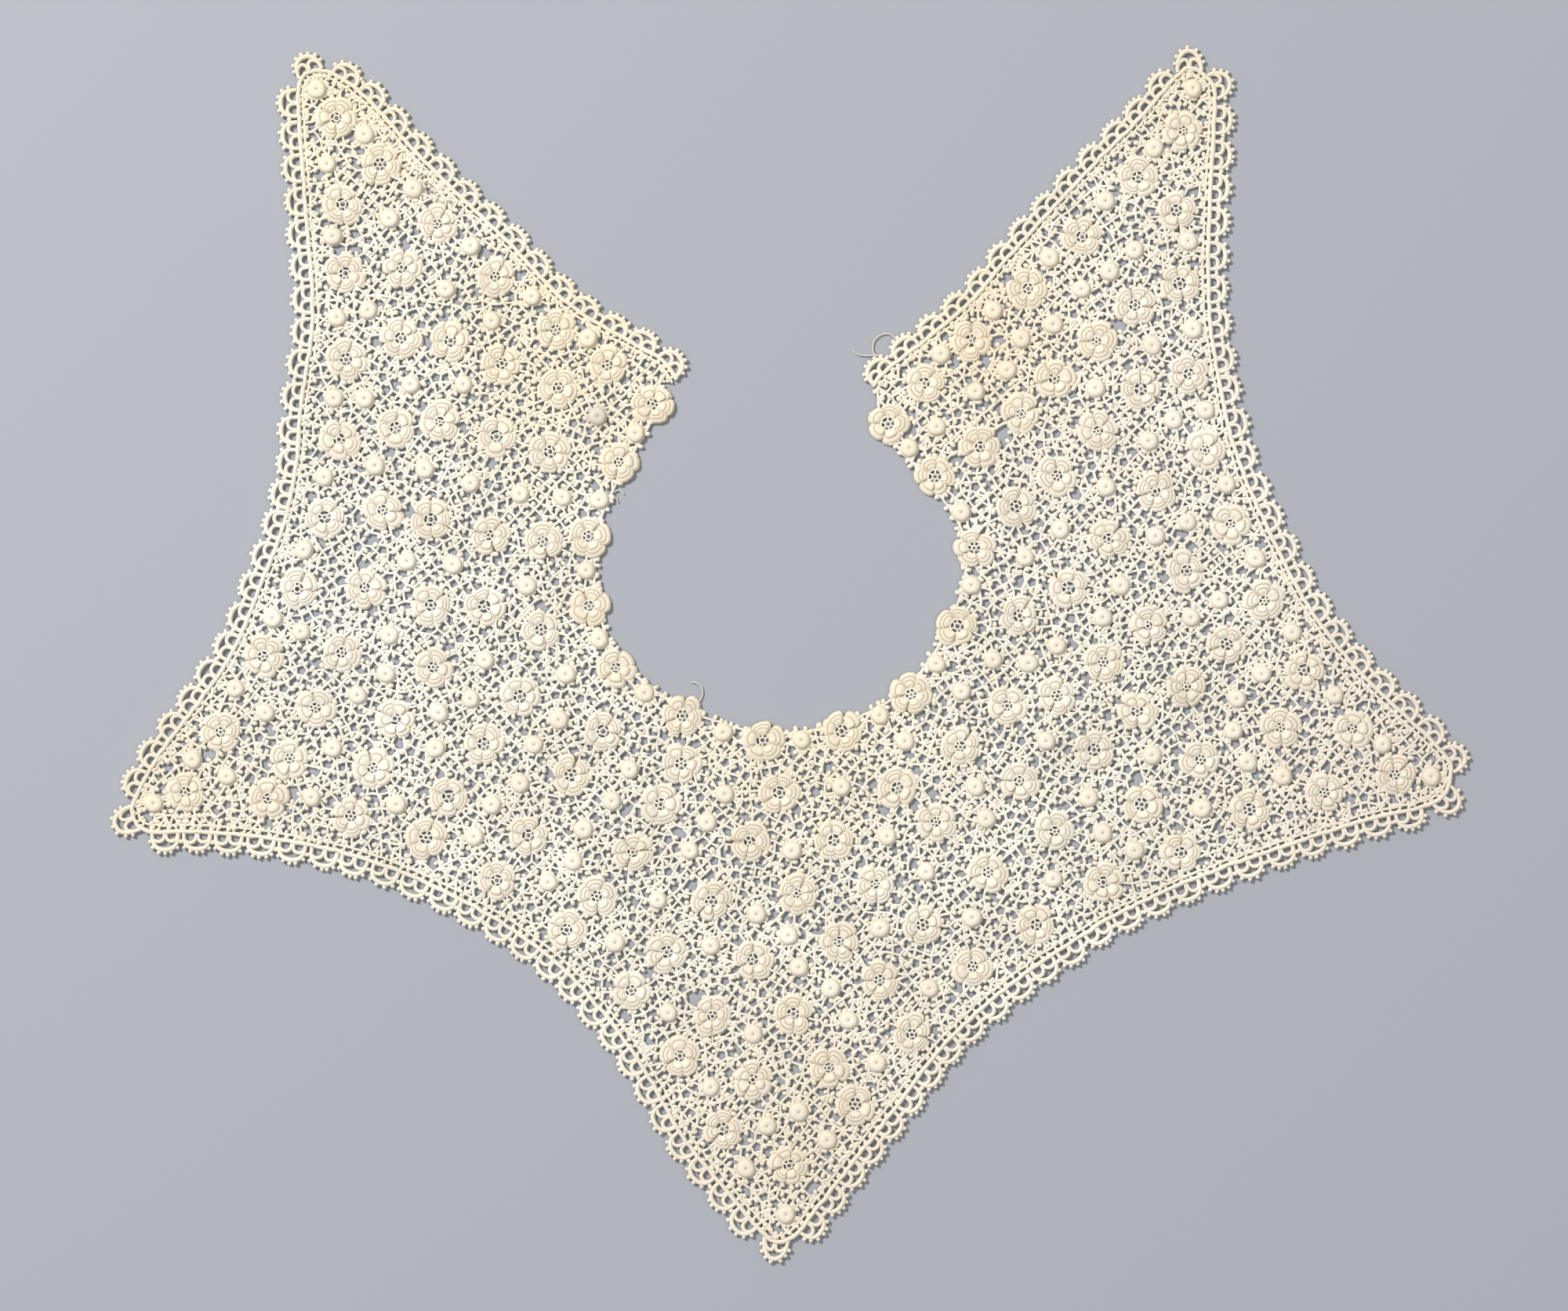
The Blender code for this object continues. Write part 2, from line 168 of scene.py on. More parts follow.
RoseRow = namedtuple("RoseRow", "name roses button_shift through")
NECK_ROW = RoseRow("neck", 13, 0, ((-56, 68), (-83, 12), (-71, -44), (-9, -75), (54, -55), (81, 7), (44, 60)))
ROSE_ROWS = (
    NECK_ROW,
    RoseRow("left back edge", 6, 3, ((-189, 189), (-135, 133), (-76, 86))),
    RoseRow("left outer", 9, -4, ((-188, 152), (-186, 87), (-195, 20), (-221, -39), (-254, -96))),
    RoseRow("left second", 9, None, ((-162, 126), (-165, 58), (-178, -10), (-199, -61), (-219, -99))),
    RoseRow("left third, back", 5, None, ((-142, 95), (-150, 19), (-149, -44))),
    RoseRow("left third, shoulder", 3, None, ((-165, -66), (-184, -107))),
    RoseRow("left fourth, back", 4, None, ((-120, 85), (-127, -18))),
    RoseRow("left fourth, shoulder", 4, None, ((-112, -56), (-136, -88), (-152, -116))),
    RoseRow("left fifth, back", 4, None, ((-96, 75), (-101, 30), (-103, -28))),
    RoseRow("left fifth, hem", 4, None, ((-77, -71), (-122, -134))),
    RoseRow("front first", 5, None, ((-44, -85), (-64, -122), (-93, -156))),
    RoseRow("front second", 5, None, ((-2, -97), (-31, -143), (-65, -181))),
    RoseRow("front third", 5, None, ((21, -117), (-13, -168), (-44, -209))),
    RoseRow("front fourth", 5, None, ((39, -136), (4, -191), (-26, -240))),
    RoseRow("front fifth", 4, None, ((59, -153), (30, -193), (2, -255))),
    RoseRow("front sixth", 3, None, ((80, -171), (30, -229))),
    RoseRow("front, along the right", 4, None, ((48, -95), (75, -119), (107, -153))),
    RoseRow("right back edge", 6, -3, ((168, 183), (115, 128), (61, 79))),
    RoseRow("right outer", 9, 4, ((167, 150), (172, 81), (190, 17), (221, -45), (259, -88))),
    RoseRow("right second", 7, None, ((149, 110), (158, 31), (188, -34), (230, -97))),
    RoseRow("right third, back", 5, None, ((133, 95), (138, 11), (171, -52))),
    RoseRow("right third, hem", 2, None, ((177, -83), (198, -104))),
    RoseRow("right fourth, back", 5, None, ((115, 79), (121, -10), (150, -62))),
    RoseRow("right fourth, hem", 2, None, ((152, -102), (169, -123))),
    RoseRow("right fifth, back", 5, None, ((101, 64), (100, -22), (132, -79))),
    RoseRow("right fifth, hem", 2, None, ((115, -113), (136, -135))),
    RoseRow("right neck, upper", 1, None, ((83, 50),)),
    RoseRow("right neck, lower", 2, None, ((95, -60), (100, -92))),
    RoseRow("right neck, front", 1, None, ((75, -77),)),
)
HALVES_MEET = -2.5  # between the two pieces of petals
POINT_BUTTONS = ((-199, 204), (174, 203), (-269, -101), (275, -90), (1, -276), (-194, 170))

# The roses and how far they have yellowed
SIX_PETALS = 0.6  # the share of roses with six petals and not five
MANY_ROUNDS = 0.6  # the share of petals with three rounds and not two
NECK_TONE = 0.9  # how much more the neck's row has yellowed
NECK_NEAR = 3.0  # how near its line such a motif stands
BACK_SIDES = 14
BACK_RINGS = ((6.7, 0.15), (7.0, 0.5), (3.7, 1.1))  # radius and height
EYES = (2.2, 3.0)  # the least and the most radius of a rose's openwork middle
PETAL_HEIGHT = (0.35, 3.0)
PETAL_SIDES = 14
PETAL_SPREAD = 0.42  # 1 for rounds of even width, and less for crescents
PETAL_STITCHES = 15
PETAL_FULLNESS = 0.62  # 1 for half an ellipse, and less for squarer corners
PETAL_WAVES = 5
WAVE_HEIGHT = 0.14

# A petal's profile from its foot to its rim: share of the way, share of the height, and the shade painted
# where it lies in a crease. Each line is one more round of stitches, behind and under the rounds before it.
THREE_ROUNDS = (
    (0.0, 0.84, 0.0), (0.17, 0.9, 0.0), (0.3, 0.9, 0.0), (0.4, 0.84, 0.1),
    (0.45, 0.68, 1.0), (0.51, 0.82, 0.1), (0.63, 0.78, 0.0),
    (0.7, 0.57, 1.0), (0.76, 0.68, 0.1), (0.91, 0.58, 0.0), (1.0, 0.0, 0.7),
)
TWO_ROUNDS = (
    (0.0, 0.84, 0.0), (0.22, 0.93, 0.0), (0.42, 0.9, 0.0), (0.55, 0.8, 0.1),
    (0.6, 0.57, 1.0), (0.67, 0.7, 0.1), (0.88, 0.6, 0.0), (1.0, 0.0, 0.7),
)

# A button's profile: share of its radius, height, and the shade painted where it lies in a crease
BUTTON_PROFILE = (
    (0.0, 2.5, 1.0), (0.06, 2.75, 0.7), (0.17, 3.05, 0.0), (0.45, 3.2, 0.0), (0.7, 2.95, 0.0),
    (0.83, 2.5, 0.2), (0.87, 2.15, 0.6), (0.95, 1.85, 0.1), (1.04, 1.0, 0.2), (1.0, 0.2, 0.8),
)
BUTTON_SIDES = 20
BUTTON_STITCHES = 24

# A picot's profile from its root to its tip: share of its length, share of its width
PICOT_PROFILE = ((0.0, 0.0), (0.08, 0.78), (0.52, 1.0), (0.88, 0.78), (1.0, 0.0))
PICOT_SIDES = 6

# Where an edge is folded under the net, and loose ends of sewing thread at the neck
FOLDED_UNDER = ((-141, 153), (-158, 170), (-177, 189), (-186, 196))
THREAD_ENDS = (
    ((-72.5, 30.2), (-71, 31.6), (-69.3, 31.2), (-68.2, 30)),
    ((-72.5, 28.9), (-71.3, 28), (-70.6, 26.3)),
    ((-36.8, -59.5), (-35.2, -56.5), (-34.6, -54), (-35.3, -51.6), (-37.3, -50.4), (-39.5, -49.8)),
    ((47.5, 96), (44.5, 98), (41, 97.6), (38.2, 95), (37.8, 91), (39.8, 87), (41.5, 84.5)),
    ((28.8, 91.2), (31.5, 89.2), (35.5, 88.8), (39.5, 88.9), (42.5, 86.5), (44, 84)),
)


# Lines, as arrays with a row for each point


def smooth_line(points):
    """A smooth line through the points, in small steps."""
    knots = np.array([points[0], *points, points[-1]], float)
    t = np.linspace(0, 1, LINE_STEPS, endpoint=False)[:, None]
    spans = []
    for a, b, c, d in zip(knots, knots[1:], knots[2:], knots[3:]):
        bend = 2 * a - 5 * b + 4 * c - d + t * (3 * (b - c) + d - a)
        spans.append(b + 0.5 * t * (c - a + t * bend))
    return np.vstack([*spans, knots[-1:]])


def distances_along(line):
    """How far along the line each of its points lies."""
    return np.concatenate([[0], np.cumsum(np.linalg.norm(np.diff(line, axis=0), axis=1))])


def at_distances(line, values, marks):
    """The values that belong to a line's points, read at distances along it."""
    along = distances_along(line)
    return np.column_stack([np.interp(marks, along, column) for column in values.T])


def spaced(line, count):
    """The line as this many points, evenly spaced."""
    return at_distances(line, line, np.linspace(0, distances_along(line)[-1], count))


def left_of(line):
    """The directions to the left of a line, at its points."""
    way = np.gradient(line, axis=0)
    way /= np.linalg.norm(way, axis=1)[:, None]
    return np.column_stack([-way[:, 1], way[:, 0]])


def depth_inside(places, outline):
    """How far each place lies inside a closed outline, and below 0 outside it."""
    nearest = np.full(len(places), np.inf)
    inside = np.zeros(len(places), bool)
    for a, b in zip(outline, np.roll(outline, -1, axis=0)):
        side = b - a
        share = np.clip((places - a) @ side / max(side @ side, 1e-12), 0, 1)
        nearest = np.minimum(nearest, np.linalg.norm(places - a - share[:, None] * side, axis=1))
        between = (a[1] > places[:, 1]) != (b[1] > places[:, 1])
        if side[1]:
            inside ^= between & (places[:, 0] < a[0] + (places[:, 1] - a[1]) * side[0] / side[1])
    return np.where(inside, nearest, -nearest)


def spaced_by_points(through, count):
    """Places along a smooth line, even from point to point of those it goes through."""
    line = smooth_line(through)
    steps = np.arange(len(line))[:, None]
    return line, at_distances(steps, line, np.linspace(0, len(line) - 1, count))


def ways(angles):
    """Directions at these angles, each one millimetre long."""
    return np.column_stack([np.cos(angles), np.sin(angles)])


def ring(middle, radius, count, turn=0.0):
    """Places on a circle, the first of them at the angle turn."""
    return middle + ways(turn + np.arange(count) * WHOLE_TURN / count) * radius


def closed_ring(middle, radius, height, count, turn=0.0):
    """Places on a circle at one height, with the first again at the end."""
    places = np.column_stack([ring(middle, radius, count, turn), np.full(count, height)])
    return np.vstack([places, places[:1]])


# The collar's pattern, as in the solids


def scallop_line():
    """The line that the scallops stand on, its outward ways, and each scallop's middle, width and depth."""
    line = smooth_line([point for run in EDGE_RUNS for point in run.through])
    along = distances_along(line)
    scallops = []
    start = 0
    knot = -1
    for run in EDGE_RUNS:
        knot += len(run.through)
        end = along[knot * LINE_STEPS]
        width = (end - start) / run.scallops
        scallops += [(start + (k + 0.5) * width, width, run.depth) for k in range(run.scallops)]
        start = end
    return line, -left_of(line), scallops


def side_by_side(edge, outwards, inset):
    """The points of the line that lies this far inside the edge."""
    length = distances_along(edge)[-1]
    marks = np.linspace(0, length, round(length / BRAID_STEP))
    return at_distances(edge, edge - inset * outwards, marks)


def motifs_of_rows():
    """The middles of the roses, and of the buttons that stand between them."""
    roses = []
    buttons = []
    for row in ROSE_ROWS:
        roses.append(spaced_by_points(row.through, row.roses)[1])
        if row.button_shift is not None:
            line, places = spaced_by_points(row.through, 2 * row.roses - 1)
            steps = np.arange(len(line))[:, None]
            aside = at_distances(steps, left_of(line), np.linspace(0, len(line) - 1, len(places)))
            buttons.append((places + row.button_shift * aside)[1::2])
    return np.vstack(roses), np.vstack([*buttons, POINT_BUTTONS])


def neck_row_line(past, step):
    """The line through the middles of the neck's roses, left to right, drawn out past its two ends."""
    line = smooth_line(NECK_ROW.through)
    ends = [line[0] - line[1], line[-1] - line[-2]]
    first, last = (end / np.linalg.norm(end) * past for end in ends)
    line = np.vstack([line[0] + first, line, line[-1] + last])
    return spaced(line, round(distances_along(line)[-1] / step))


def neck_edge(roses, buttons):
    """The ground's edge at the neck, left to right: the net, or the motif that reaches past it."""
    line = neck_row_line(NECK_END, NECK_STEP)
    inwards = left_of(line)
    reach = np.full(len(line), NECK_NET)
    for middles, radius in ((roses, ROSE_RADIUS + MOTIF_SPACE), (buttons, BUTTON_RADIUS + MOTIF_SPACE)):
        for middle in middles:
            off = middle - line
            ahead = (off * inwards).sum(axis=1)
            aside = (off * off).sum(axis=1) - ahead**2
            touches = (aside < radius**2) & (np.abs(ahead) < radius + NECK_NET)
            rim = ahead + np.sqrt(np.maximum(radius**2 - aside, 0))
            reach = np.where(touches, np.maximum(reach, rim), reach)
    return line + reach[:, None] * inwards


def ground_outline(edge, outwards, roses, buttons):
    """The closed outline of the ground, along the braid and back along the neck."""
    outer_side = side_by_side(edge, outwards, BRAID_WIDTH + SEAM)
    return np.vstack([outer_side, neck_edge(roses, buttons)[::-1]])


def spread_out(roses, buttons, outline, fixed):
    """Motifs that stand too close to each other, or to the edge, moved apart. The first roses are fixed."""
    places = np.vstack([roses, buttons])
    radius = np.repeat([ROSE_RADIUS, BUTTON_RADIUS], [len(roses), len(buttons)])
    free = np.arange(len(places)) >= fixed
    for _ in range(SPREAD_ROUNDS):
        step = np.zeros_like(places)
        off = places[:, None] - places[None]
        apart = np.linalg.norm(off, axis=2) + np.eye(len(places)) * 1e6
        short = np.maximum(radius[:, None] + radius[None] + MOTIF_SPACE - apart, 0)
        step += (off / apart[..., None] * short[..., None] * 0.5).sum(axis=1)
        depth = depth_inside(places, outline)
        shallow = np.maximum(radius + MOTIF_SPACE - depth, 0)
        for k, way in enumerate(np.eye(2)):
            ahead, behind = (depth_inside(places + move * way, outline) for move in (SLOPE_STEP, -SLOPE_STEP))
            step[:, k] += (ahead - behind) / (2 * SLOPE_STEP) * shallow
        places[free] += step[free]
    return places[: len(roses)], places[len(roses):]


def widest_spaces(outline, circles, radius, space, most, step=GRID_STEP):
    """Places for circles of one radius, the widest space first. circles are taken: middles and radius."""
    low, high = outline.min(axis=0), outline.max(axis=0)
    columns, rows = (np.arange(low[k], high[k], step) for k in (0, 1))
    grid = np.stack(np.meshgrid(columns, rows), axis=-1).reshape(-1, 2)
    room = depth_inside(grid, outline)
    grid, room = grid[room > radius], room[room > radius]
    for middles, taken in circles:
        for middle in middles:
            room = np.minimum(room, np.linalg.norm(grid - middle, axis=1) - taken)
    found = []
    while len(found) < most and room.max() >= radius + space:
        best = grid[room.argmax()]
        found.append(best)
        room = np.minimum(room, np.linalg.norm(grid - best, axis=1) - radius - space)
    return np.array(found)


def scallop_facing(edge, outwards, middle):
    """The way that a scallop points: outwards, evened over the edge that it stands on."""
    facing = at_distances(edge, outwards, middle + np.linspace(-4, 4, 9)).mean(axis=0)
    return facing / np.linalg.norm(facing)


def scallop_rims(edge, outwards, scallops):
    """The points of all the scallops' rims, for the middle of the collar's box."""
    arc = np.linspace(0, math.pi, SCALLOP_SIDES + 1)
    full = np.column_stack([-np.cos(arc), np.sin(arc)])
    full = np.sign(full) * np.abs(full) ** SCALLOP_FULLNESS
    rims = []
    for middle, width, depth in scallops:
        facing = scallop_facing(edge, outwards, middle)
        shape = full * (min(SCALLOP_HALF_WIDTH, width / 2 - SEAM), depth)
        rims.append(at_distances(edge, edge, middle + shape[:, 0]) + shape[:, 1:] * facing)
    return np.vstack(rims)


def layout(edge, outwards):
    """The ground's outline, and the middles of the roses, the buttons and the widest gaps."""
    roses, buttons = motifs_of_rows()
    outline = ground_outline(edge, outwards, roses, buttons)
    roses, buttons = spread_out(roses, buttons, outline, NECK_ROW.roses)
    taken = ((roses, ROSE_RADIUS), (buttons, BUTTON_RADIUS))
    more = widest_spaces(outline, taken, BUTTON_RADIUS, MOTIF_SPACE, MOST_BUTTONS - len(buttons))
    buttons = np.vstack([buttons, more])
    taken = ((roses, ROSE_RADIUS), (buttons, BUTTON_RADIUS))
    return outline, roses, buttons, widest_spaces(outline, taken, GAP_RADIUS, GAP_SPACE, GROUND_GAPS)


def braid_rise(scallops, marks):
    """How far the braid swells outwards under the deep scallops, evened over five of them."""
    middles, _, depths = np.array(scallops).T
    rise = np.clip(depths - SHALLOW, 0, MOST_RISE)
    evened = np.convolve(np.pad(rise, 2, mode="edge"), np.full(5, 0.2), "valid")
    return np.interp(marks, middles, evened)[:, None]


# Shapes


def link(thing):
    """An object put into the scene."""
    bpy.context.scene.collection.objects.link(thing)
    return thing


def from_points(name, points, faces, **marks):
    """A smooth mesh object from points in the pattern's millimetres, with named numbers at its points."""
    places = (points - [*SHIFT, 0]) * MM
    data = bpy.data.meshes.new(name)
    data.from_pydata(places.tolist(), [], faces.tolist())
    for mark, values in marks.items():
        data.attributes.new(mark, "FLOAT", "POINT").data.foreach_set("value", values)
    data.shade_smooth()
    return link(bpy.data.objects.new(name, data))


def cords(name, lines):
    """Round cords as one mesh. Each line has rows of x, y, z and radius."""
    curve = bpy.data.curves.new(name, "CURVE")
    curve.dimensions = "3D"
    curve.bevel_depth = MM
    curve.bevel_resolution = 1
    curve.use_fill_caps = False
    for line in lines:
        spline = curve.splines.new("POLY")
        spline.points.add(len(line) - 1)
        places = np.column_stack([(line[:, :2] - SHIFT) * MM, line[:, 2] * MM, np.ones(len(line))])
        spline.points.foreach_set("co", places.ravel())
        spline.points.foreach_set("radius", line[:, 3])
    drawn = link(bpy.data.objects.new(name, curve))
    data = bpy.data.meshes.new_from_object(drawn.evaluated_get(bpy.context.evaluated_depsgraph_get()))
    bpy.data.objects.remove(drawn)
    data.name = name
    turns = np.concatenate([distances_along(line[:, :2]) for line in lines]) * WHOLE_TURN / STITCH
    around = len(data.vertices) // len(turns)
    data.attributes.new("stitch", "FLOAT", "POINT").data.foreach_set("value", np.repeat(turns, around))
    data.shade_smooth()
    return link(bpy.data.objects.new(name, data))


def nubs(name, roots, turns, sizes):
    """Picots as one mesh: each has its root, its direction, and its length, half width and half height."""
    sides = PICOT_SIDES
    angles = np.arange(sides) * WHOLE_TURN / sides
    base = [(0.0, 0.0, 0.0)]
    for share, wide in PICOT_PROFILE[1:-1]:
        base += [(share, wide * math.cos(angle), wide * math.sin(angle)) for angle in angles]
    base.append((1.0, 0.0, 0.0))
    last = len(base) - 1
    faces = [(0, 1 + (k + 1) % sides, 1 + k) for k in range(sides)]
    for start in range(1, last - sides, sides):
        for k in range(sides):
            a, b = start + k, start + (k + 1) % sides
            faces += [(a, b, b + sides), (a, b + sides, a + sides)]
    faces += [(last, last - sides + k, last - sides + (k + 1) % sides) for k in range(sides)]
    along, across, up = (np.array(base)[None] * sizes[:, None]).transpose(2, 0, 1)
    cosine, sine = np.cos(turns)[:, None], np.sin(turns)[:, None]
    x, y = cosine * along - sine * across, sine * along + cosine * across
    points = np.stack([x, y, up], axis=-1) + roots[:, None]
    faces = np.array(faces)[None] + np.arange(len(roots))[:, None, None] * len(base)
    return from_points(name, points.reshape(-1, 3), faces.reshape(-1, 3))


def grid_faces(rows, columns, count):
    """Quads of count grids, each of this many points."""
    corner = np.arange(rows * columns).reshape(rows, columns)
    corners = (corner[:-1, :-1], corner[:-1, 1:], corner[1:, 1:], corner[1:, :-1])
    quads = np.stack(corners, axis=-1).reshape(-1, 4)
    return (quads[None] + np.arange(count)[:, None, None] * rows * columns).reshape(-1, 4)


# The net


def crossings(outline):
    """The crossings of a slanting net over the whole ground, each a little out of line."""
    reach = 1.5 * np.abs(outline).max()
    steps = np.arange(-reach, reach, KNOT_SPACE)
    grid = np.stack(np.meshgrid(steps, steps), axis=-1).reshape(-1, 2)
    grid = grid @ [[math.sqrt(0.5), math.sqrt(0.5)], [-math.sqrt(0.5), math.sqrt(0.5)]]
    x, y = grid.T
    wavy_x = x + 3 * np.sin(y / 27 + 1) + 1.5 * np.sin(y / 11)
    wavy_y = y + 3 * np.sin(x / 31) + 1.5 * np.sin(x / 9)
    grid = np.column_stack([wavy_x, wavy_y])
    grid += DRAW.normal(0, KNOT_JITTER, grid.shape)
    return grid[depth_inside(grid, outline) > INSIDE_EDGE]


def far_from(places, others, least):
    """The places that are at least this far from all the others, looked at a few at a time."""
    kept = [part[np.linalg.norm(part[:, None] - others[None], axis=2).min(axis=1) > least]
            for part in np.array_split(places, len(places) // 500 + 1)]
    return np.vstack(kept)


def net_knots(outline, edge, outwards, scallops, roses, buttons, gaps):
    """The net's knots and, for each, its owner: the motif or edge that it is worked on, or FREE."""
    places, owners = [], []

    def add(points, owner):
        places.append(points)
        owners.append(np.full(len(points), owner))

    for number, rose in enumerate(roses):
        add(ring(rose, ROSE_RADIUS - ROSE_HOLD, ROSE_KNOTS, DRAW.uniform(0, 1)), number)
    for number, button in enumerate(buttons):
        add(ring(button, BUTTON_RADIUS - BUTTON_HOLD, BUTTON_KNOTS, DRAW.uniform(0, 1)), len(roses) + number)
    length = distances_along(edge)[-1]
    marks = np.linspace(1, length - 1, round(length / BRAID_KNOT_SPACE))
    inwards = 0.5 * braid_rise(scallops, marks) - BRAID_INNER
    add(at_distances(edge, edge, marks) + inwards * at_distances(edge, outwards, marks), ON_BRAID)
    neck = neck_line(NECK_CORD)
    neck = spaced(neck, round(distances_along(neck)[-1] / NECK_KNOT_SPACE))
    add(far_from(far_from(neck, roses, ROSE_RADIUS), buttons, BUTTON_RADIUS), ON_NECK)
    around = np.vstack([ring(gap, GAP_KNOT_RADIUS, GAP_KNOTS, DRAW.uniform(0, 2)) for gap in gaps])
    add(far_from(around, np.vstack(places), GAP_KNOT_APART), FREE)
    free = far_from(crossings(outline), roses, ROSE_RADIUS + ROSE_CLEAR)
    free = far_from(free, buttons, BUTTON_RADIUS + BUTTON_CLEAR)
    free = far_from(free, gaps, GAP_KNOT_RADIUS)
    add(far_from(free, np.vstack(places), KNOT_APART), FREE)
    taken = (
        (roses, ROSE_RADIUS - OVER_RIM),
        (buttons, BUTTON_RADIUS - OVER_RIM),
        (gaps, GAP_KNOT_RADIUS - OVER_GAP),
        (np.vstack(places), 0),
    )
    add(widest_spaces(outline, taken, WIDEST_EMPTY, space=0, most=2000, step=1.0), FREE)
    return np.vstack(places), np.concatenate(owners)


def net_bars(knots, owners, outline, gaps):
    """Pairs of neighbouring knots that a strand joins, without those that would cut a square in two."""
    _, _, triangles, origins, _, _ = delaunay_2d_cdt(knots.tolist(), [], [], 0, 1e-6)
    names = np.array([origin[0] for origin in origins])
    sides = names[np.array(triangles)]
    pairs = np.vstack([sides[:, [0, 1]], sides[:, [1, 2]], sides[:, [2, 0]]])
    third = np.concatenate([sides[:, 2], sides[:, 0], sides[:, 1]])
    first, second = (knots[pairs[:, k]] - knots[third] for k in (0, 1))
    seen = (first * second).sum(axis=1) / np.linalg.norm(first, axis=1) / np.linalg.norm(second, axis=1)
    pairs = np.sort(pairs, axis=1)
    unique, which = np.unique(pairs, axis=0, return_inverse=True)
    least = np.full(len(unique), np.inf)
    np.minimum.at(least, which.ravel(), seen)
    a, b = unique.T
    length = np.linalg.norm(knots[a] - knots[b], axis=1)
    middle = (knots[a] + knots[b]) / 2
    loose = (owners[a] == FREE) & (owners[b] == FREE)
    kept = (least >= LEAST_COSINE) & (length > SHORTEST_STRAND)
    kept &= length < np.where(loose, LONGEST_STRAND, LONGEST_FROM_MOTIF)
    kept &= (owners[a] != owners[b]) | (owners[a] == FREE)
    kept &= depth_inside(middle, outline) > 0.2
    for gap in gaps:
        kept &= np.linalg.norm(middle - gap, axis=1) > GAP_OPEN
    return unique[kept]


def net(knots, bars):
    """The net's strands, each a little bent and past its knots at both ends."""
    heights = DRAW.uniform(0.6, 0.95, len(knots))
    lines = []
    for a, b in bars:
        way = knots[b] - knots[a]
        length = np.linalg.norm(way)
        bend = np.array([-way[1], way[0]]) * DRAW.uniform(-0.1, 0.1)
        middle = (knots[a] + knots[b]) / 2 + bend
        past = PAST_KNOT * way / length
        thick = THREAD * DRAW.uniform(0.86, 1.14)
        start, end = (*(knots[a] - past), heights[a]), (*(knots[b] + past), heights[b])
        line = [(*start, thick * 1.05), (*end, thick * 1.05)]
        if length > LONGEST_STRAIGHT:
            line.insert(1, (*middle, DRAW.uniform(0.7, 1.1), thick * 0.95))
        lines.append(np.array(line))
    return lines


def neck_line(inset):
    """A line along the neck, left to right, this far towards the opening from the middles of its roses."""
    line = neck_row_line(NECK_END + 2, 2)
    return line + inset * left_of(line)


def neck_cord():
    """The row of chain stitches along the neck. It runs under the roses."""
    line = neck_line(NECK_CORD)
    line += DRAW.normal(0, 0.12, line.shape)
    height = DRAW.uniform(0.7, 0.95, len(line))
    return np.column_stack([line, height, NECK_CORD_RADIUS * DRAW.uniform(0.9, 1.1, len(line))])


def folded_edge():
    """What shows through the net along the back edge of the left point, where an edge is folded under."""
    line = spaced(smooth_line(FOLDED_UNDER), 34)
    roots = np.vstack([line + inset * left_of(line) for inset in (-1.6, 0.4, 2.4, 4.4)])
    roots = np.column_stack([roots + DRAW.normal(0, 0.35, roots.shape), np.full(len(roots), 0.45)])
    sizes = DRAW.uniform((2.2, 0.9, 0.3), (3.0, 1.3, 0.42), roots.shape)
    return nubs("folded_edge", roots, DRAW.uniform(0, MOST_TURN, len(roots)), sizes)


def thread_ends():
    """Loose sewing threads that lie on what the collar lies on, each from under the neck's edge."""
    lines = []
    for through in THREAD_ENDS:
        line = smooth_line(through)[::6]
        size = np.broadcast_to((THREAD_END_HEIGHT, THREAD_END_RADIUS), (len(line), 2))
        lines.append(np.column_stack([line, size]))
    return lines


def picot_places(lines, gaps):
    """The picots' roots and directions beside the strands, none near another or where the net stays open."""
    tries = []
    for line in lines:
        way = line[-1, :2] - line[0, :2]
        length = np.linalg.norm(way)
        heading = math.atan2(way[1], way[0])
        side = DRAW.choice((-1, 1))
        for along in (0.5,) if length < ONE_PICOT else (0.3, 0.7):
            for chance in (0.95, 0.75):
                root = line[0, :2] + (along + DRAW.uniform(-0.08, 0.08)) * way
                turn = heading + side * (math.pi / 2 + DRAW.normal(0, 0.4))
                if DRAW.random() < chance:
                    tries.append((*root, turn))
                side = -side
    tries = np.array(tries)
    middles = tries[:, :2] + PICOT_MIDDLE * ways(tries[:, 2])
    kept = {}
    found = []
    for place, middle in zip(tries, middles):
        if np.linalg.norm(gaps - middle, axis=1).min() < PICOT_CLEAR:
            continue
        i, j = int(middle[0] // PICOT_APART), int(middle[1] // PICOT_APART)
        near = [other for a in (i - 1, i, i + 1) for b in (j - 1, j, j + 1) for other in kept.get((a, b), ())]
        if all((middle[0] - x) ** 2 + (middle[1] - y) ** 2 >= PICOT_APART**2 for x, y in near):
            kept.setdefault((i, j), []).append(middle)
            found.append(place)
    return np.array(found)


def picots(places, name):
    """The net's picots at these roots and directions."""
    count = len(places)
    roots = np.column_stack([places[:, :2], DRAW.uniform(0.72, 0.95, count)])
    sizes = DRAW.uniform(*PICOT_SIZES, (count, 3))
    return nubs(name, roots, places[:, 2], sizes)


# Roses and buttons


